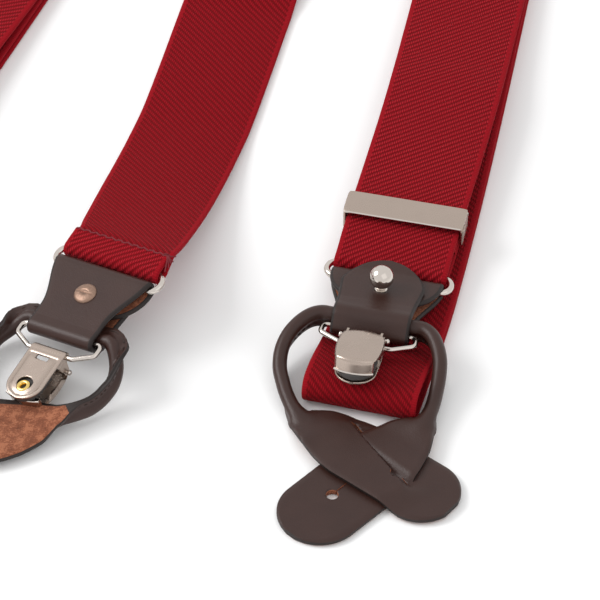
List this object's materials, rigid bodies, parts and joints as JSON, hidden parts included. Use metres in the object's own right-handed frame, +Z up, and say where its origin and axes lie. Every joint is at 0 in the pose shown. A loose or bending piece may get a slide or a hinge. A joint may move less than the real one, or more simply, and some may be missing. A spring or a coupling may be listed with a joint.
{
  "type": "suspenders",
  "caption": "Trouser braces of elastic webbing laid flat, with slide adjusters, leather ends that swing on wire rings, lever clips and rolled leather button loops.",
  "frame": {"origin": "middle of the underside of the back patch, on the surface the braces lie on", "axes": "+Z up from the surface; +Y from the clips towards the patch; +X to the right seen from the clips"},
  "size_m": [0.2991, 0.3297, 0.0255],
  "materials": {
    "red_webbing": "matte twill",
    "brown_leather": "satin",
    "nickel_plate": "polished",
    "brass": "polished",
    "rubber_pad": "matte",
    "aged_steel": "dull"
  },
  "bodies": {
    "straps": {"right_front_strap": "red_webbing", "left_front_strap": "red_webbing", "rear_strap": "red_webbing", "patch_face": "brown_leather", "patch_backing": "brown_leather"},
    "right_front_adjuster": {"right_front_adjuster_frame": "nickel_plate", "right_front_adjuster_pin": "nickel_plate", "right_front_tail": "red_webbing"},
    "right_front_adjuster_flap": {"right_front_adjuster_lever": "nickel_plate"},
    "right_front_end_ring": {"right_front_ring": "nickel_plate"},
    "right_front_leather_tab": {"right_front_tab": "brown_leather", "right_front_ball_stud": "nickel_plate", "right_front_stud_screw": "aged_steel"},
    "right_front_button_flap": {"right_front_flap": "brown_leather"},
    "right_front_wire_bail": {"right_front_bail": "nickel_plate"},
    "right_front_clip": {"right_front_clip_plate": "nickel_plate", "right_front_clip_pad": "rubber_pad", "right_front_clip_eyelet": "brass", "right_front_clip_pin": "nickel_plate"},
    "right_front_clip_jaw_lever": {"right_front_clip_lever": "nickel_plate"},
    "right_front_button_loop": {"right_front_loop_cord": "brown_leather", "right_front_loop_tab_a": "brown_leather", "right_front_loop_tab_b": "brown_leather"},
    "left_front_adjuster": {"left_front_adjuster_frame": "nickel_plate", "left_front_adjuster_pin": "nickel_plate", "left_front_tail": "red_webbing"},
    "left_front_adjuster_flap": {"left_front_adjuster_lever": "nickel_plate"},
    "left_front_end_ring": {"left_front_ring": "nickel_plate"},
    "left_front_leather_tab": {"left_front_tab": "brown_leather", "left_front_ball_stud": "nickel_plate", "left_front_stud_screw": "aged_steel"},
    "left_front_button_flap": {"left_front_flap": "brown_leather"},
    "left_front_wire_bail": {"left_front_bail": "nickel_plate"},
    "left_front_clip": {"left_front_clip_plate": "nickel_plate", "left_front_clip_pad": "rubber_pad", "left_front_clip_eyelet": "brass", "left_front_clip_pin": "nickel_plate"},
    "left_front_clip_jaw_lever": {"left_front_clip_lever": "nickel_plate"},
    "left_front_button_loop": {"left_front_loop_cord": "brown_leather", "left_front_loop_tab_a": "brown_leather", "left_front_loop_tab_b": "brown_leather"},
    "rear_end_ring": {"rear_ring": "nickel_plate"},
    "rear_leather_tab": {"rear_tab": "brown_leather", "rear_ball_stud": "nickel_plate", "rear_stud_screw": "aged_steel"},
    "rear_button_flap": {"rear_flap": "brown_leather"},
    "rear_wire_bail": {"rear_bail": "nickel_plate"},
    "rear_clip": {"rear_clip_plate": "nickel_plate", "rear_clip_pad": "rubber_pad", "rear_clip_eyelet": "brass", "rear_clip_pin": "nickel_plate"},
    "rear_clip_jaw_lever": {"rear_clip_lever": "nickel_plate"},
    "rear_button_loop": {"rear_loop_cord": "brown_leather", "rear_loop_tab_a": "brown_leather", "rear_loop_tab_b": "brown_leather"}
  },
  "joints": [
    {"name": "right_front_ring_swing", "type": "hinge", "parent": "straps", "child": "right_front_end_ring", "pos_m": [0.03659, -0.16406, 0.0069], "axis": [-0.9744, 0.225, 0], "range_deg": [0, 35]},
    {"name": "right_front_tab_swing", "type": "hinge", "parent": "right_front_end_ring", "child": "right_front_leather_tab", "pos_m": [0.0352, -0.1701, 0.0069], "axis": [-0.9744, 0.225, 0], "range_deg": [0, 10]},
    {"name": "right_front_flap_fold", "type": "hinge", "parent": "right_front_leather_tab", "child": "right_front_button_flap", "pos_m": [0.03136, -0.18674, 0.0135], "axis": [0.9744, -0.225, 0], "range_deg": [0, 100], "deforming": ["right_front_flap"]},
    {"name": "right_front_bail_swing", "type": "hinge", "parent": "right_front_leather_tab", "child": "right_front_wire_bail", "pos_m": [0.03002, -0.19252, 0.00994], "axis": [-0.9744, 0.225, 0], "range_deg": [0, 30]},
    {"name": "right_front_clip_swing", "type": "hinge", "parent": "right_front_wire_bail", "child": "right_front_clip", "pos_m": [0.02838, -0.19964, 0.01109], "axis": [-0.9744, 0.225, 0], "range_deg": [0, 25]},
    {"name": "right_front_clip_lever_open", "type": "hinge", "parent": "right_front_clip", "child": "right_front_clip_jaw_lever", "pos_m": [0.02811, -0.20081, 0.01568], "axis": [-0.9744, 0.225, 0], "range_deg": [0, 80]},
    {"name": "right_front_loop_swing", "type": "hinge", "parent": "right_front_leather_tab", "child": "right_front_button_loop", "pos_m": [0.03073, -0.18945, 0.01131], "axis": [-0.9744, 0.225, 0], "range_deg": [0, 12]},
    {"name": "right_front_adjuster_slide", "type": "slide", "parent": "straps", "child": "right_front_adjuster", "axis": [0.225, 0.9744, 0], "range_m": [0, 0.045], "deforming": ["right_front_tail"]},
    {"name": "right_front_adjuster_lever_open", "type": "hinge", "parent": "right_front_adjuster", "child": "right_front_adjuster_flap", "pos_m": [0.04195, -0.14087, 0.0117], "axis": [-0.9744, 0.225, 0], "range_deg": [0, 100]},
    {"name": "left_front_ring_swing", "type": "hinge", "parent": "straps", "child": "left_front_end_ring", "pos_m": [-0.14729, -0.15432, 0.0069], "axis": [-0.891, 0.454, 0], "range_deg": [0, 35]},
    {"name": "left_front_tab_swing", "type": "hinge", "parent": "left_front_end_ring", "child": "left_front_leather_tab", "pos_m": [-0.15011, -0.15985, 0.0069], "axis": [-0.891, 0.454, 0], "range_deg": [0, 10]},
    {"name": "left_front_flap_fold", "type": "hinge", "parent": "left_front_leather_tab", "child": "left_front_button_flap", "pos_m": [-0.15786, -0.17506, 0.0135], "axis": [0.891, -0.454, 0], "range_deg": [0, 100], "deforming": ["left_front_flap"]},
    {"name": "left_front_bail_swing", "type": "hinge", "parent": "left_front_leather_tab", "child": "left_front_wire_bail", "pos_m": [-0.16055, -0.18035, 0.00994], "axis": [-0.891, 0.454, 0], "range_deg": [0, 30]},
    {"name": "left_front_clip_swing", "type": "hinge", "parent": "left_front_wire_bail", "child": "left_front_clip", "pos_m": [-0.16387, -0.18686, 0.01109], "axis": [-0.891, 0.454, 0], "range_deg": [0, 25]},
    {"name": "left_front_clip_lever_open", "type": "hinge", "parent": "left_front_clip", "child": "left_front_clip_jaw_lever", "pos_m": [-0.16442, -0.18793, 0.01568], "axis": [-0.891, 0.454, 0], "range_deg": [0, 80]},
    {"name": "left_front_loop_swing", "type": "hinge", "parent": "left_front_leather_tab", "child": "left_front_button_loop", "pos_m": [-0.15912, -0.17754, 0.01131], "axis": [-0.891, 0.454, 0], "range_deg": [0, 12]},
    {"name": "left_front_adjuster_slide", "type": "slide", "parent": "straps", "child": "left_front_adjuster", "axis": [0.454, 0.891, 0], "range_m": [0, 0.045], "deforming": ["left_front_tail"]},
    {"name": "left_front_adjuster_lever_open", "type": "hinge", "parent": "left_front_adjuster", "child": "left_front_adjuster_flap", "pos_m": [-0.13649, -0.13312, 0.0117], "axis": [-0.891, 0.454, 0], "range_deg": [0, 100]},
    {"name": "rear_ring_swing", "type": "hinge", "parent": "straps", "child": "rear_end_ring", "pos_m": [-0.04688, -0.1716, 0.01819], "axis": [-0.821, 0.5396, -0.1866], "range_deg": [0, 35]},
    {"name": "rear_tab_swing", "type": "hinge", "parent": "rear_end_ring", "child": "rear_leather_tab", "pos_m": [-0.05, -0.1768, 0.0169], "axis": [-0.821, 0.5396, -0.1866], "range_deg": [0, 10]},
    {"name": "rear_flap_fold", "type": "hinge", "parent": "rear_leather_tab", "child": "rear_button_flap", "pos_m": [-0.05798, -0.19151, 0.00948], "axis": [-0.821, 0.5396, -0.1866], "range_deg": [0, 100], "deforming": ["rear_flap"]},
    {"name": "rear_bail_swing", "type": "hinge", "parent": "rear_leather_tab", "child": "rear_wire_bail", "pos_m": [-0.06185, -0.1963, 0.01265], "axis": [-0.821, 0.5396, -0.1866], "range_deg": [0, 30]},
    {"name": "rear_clip_swing", "type": "hinge", "parent": "rear_wire_bail", "child": "rear_clip", "pos_m": [-0.06558, -0.2025, 0.01111], "axis": [-0.821, 0.5396, -0.1866], "range_deg": [0, 25]},
    {"name": "rear_clip_lever_open", "type": "hinge", "parent": "rear_clip", "child": "rear_clip_jaw_lever", "pos_m": [-0.06556, -0.20402, 0.00662], "axis": [0.821, -0.5396, 0.1866], "range_deg": [0, 70]},
    {"name": "rear_loop_swing", "type": "hinge", "parent": "rear_leather_tab", "child": "rear_button_loop", "pos_m": [-0.05989, -0.19372, 0.01148], "axis": [-0.821, 0.5396, -0.1866], "range_deg": [0, 12]}
  ]
}
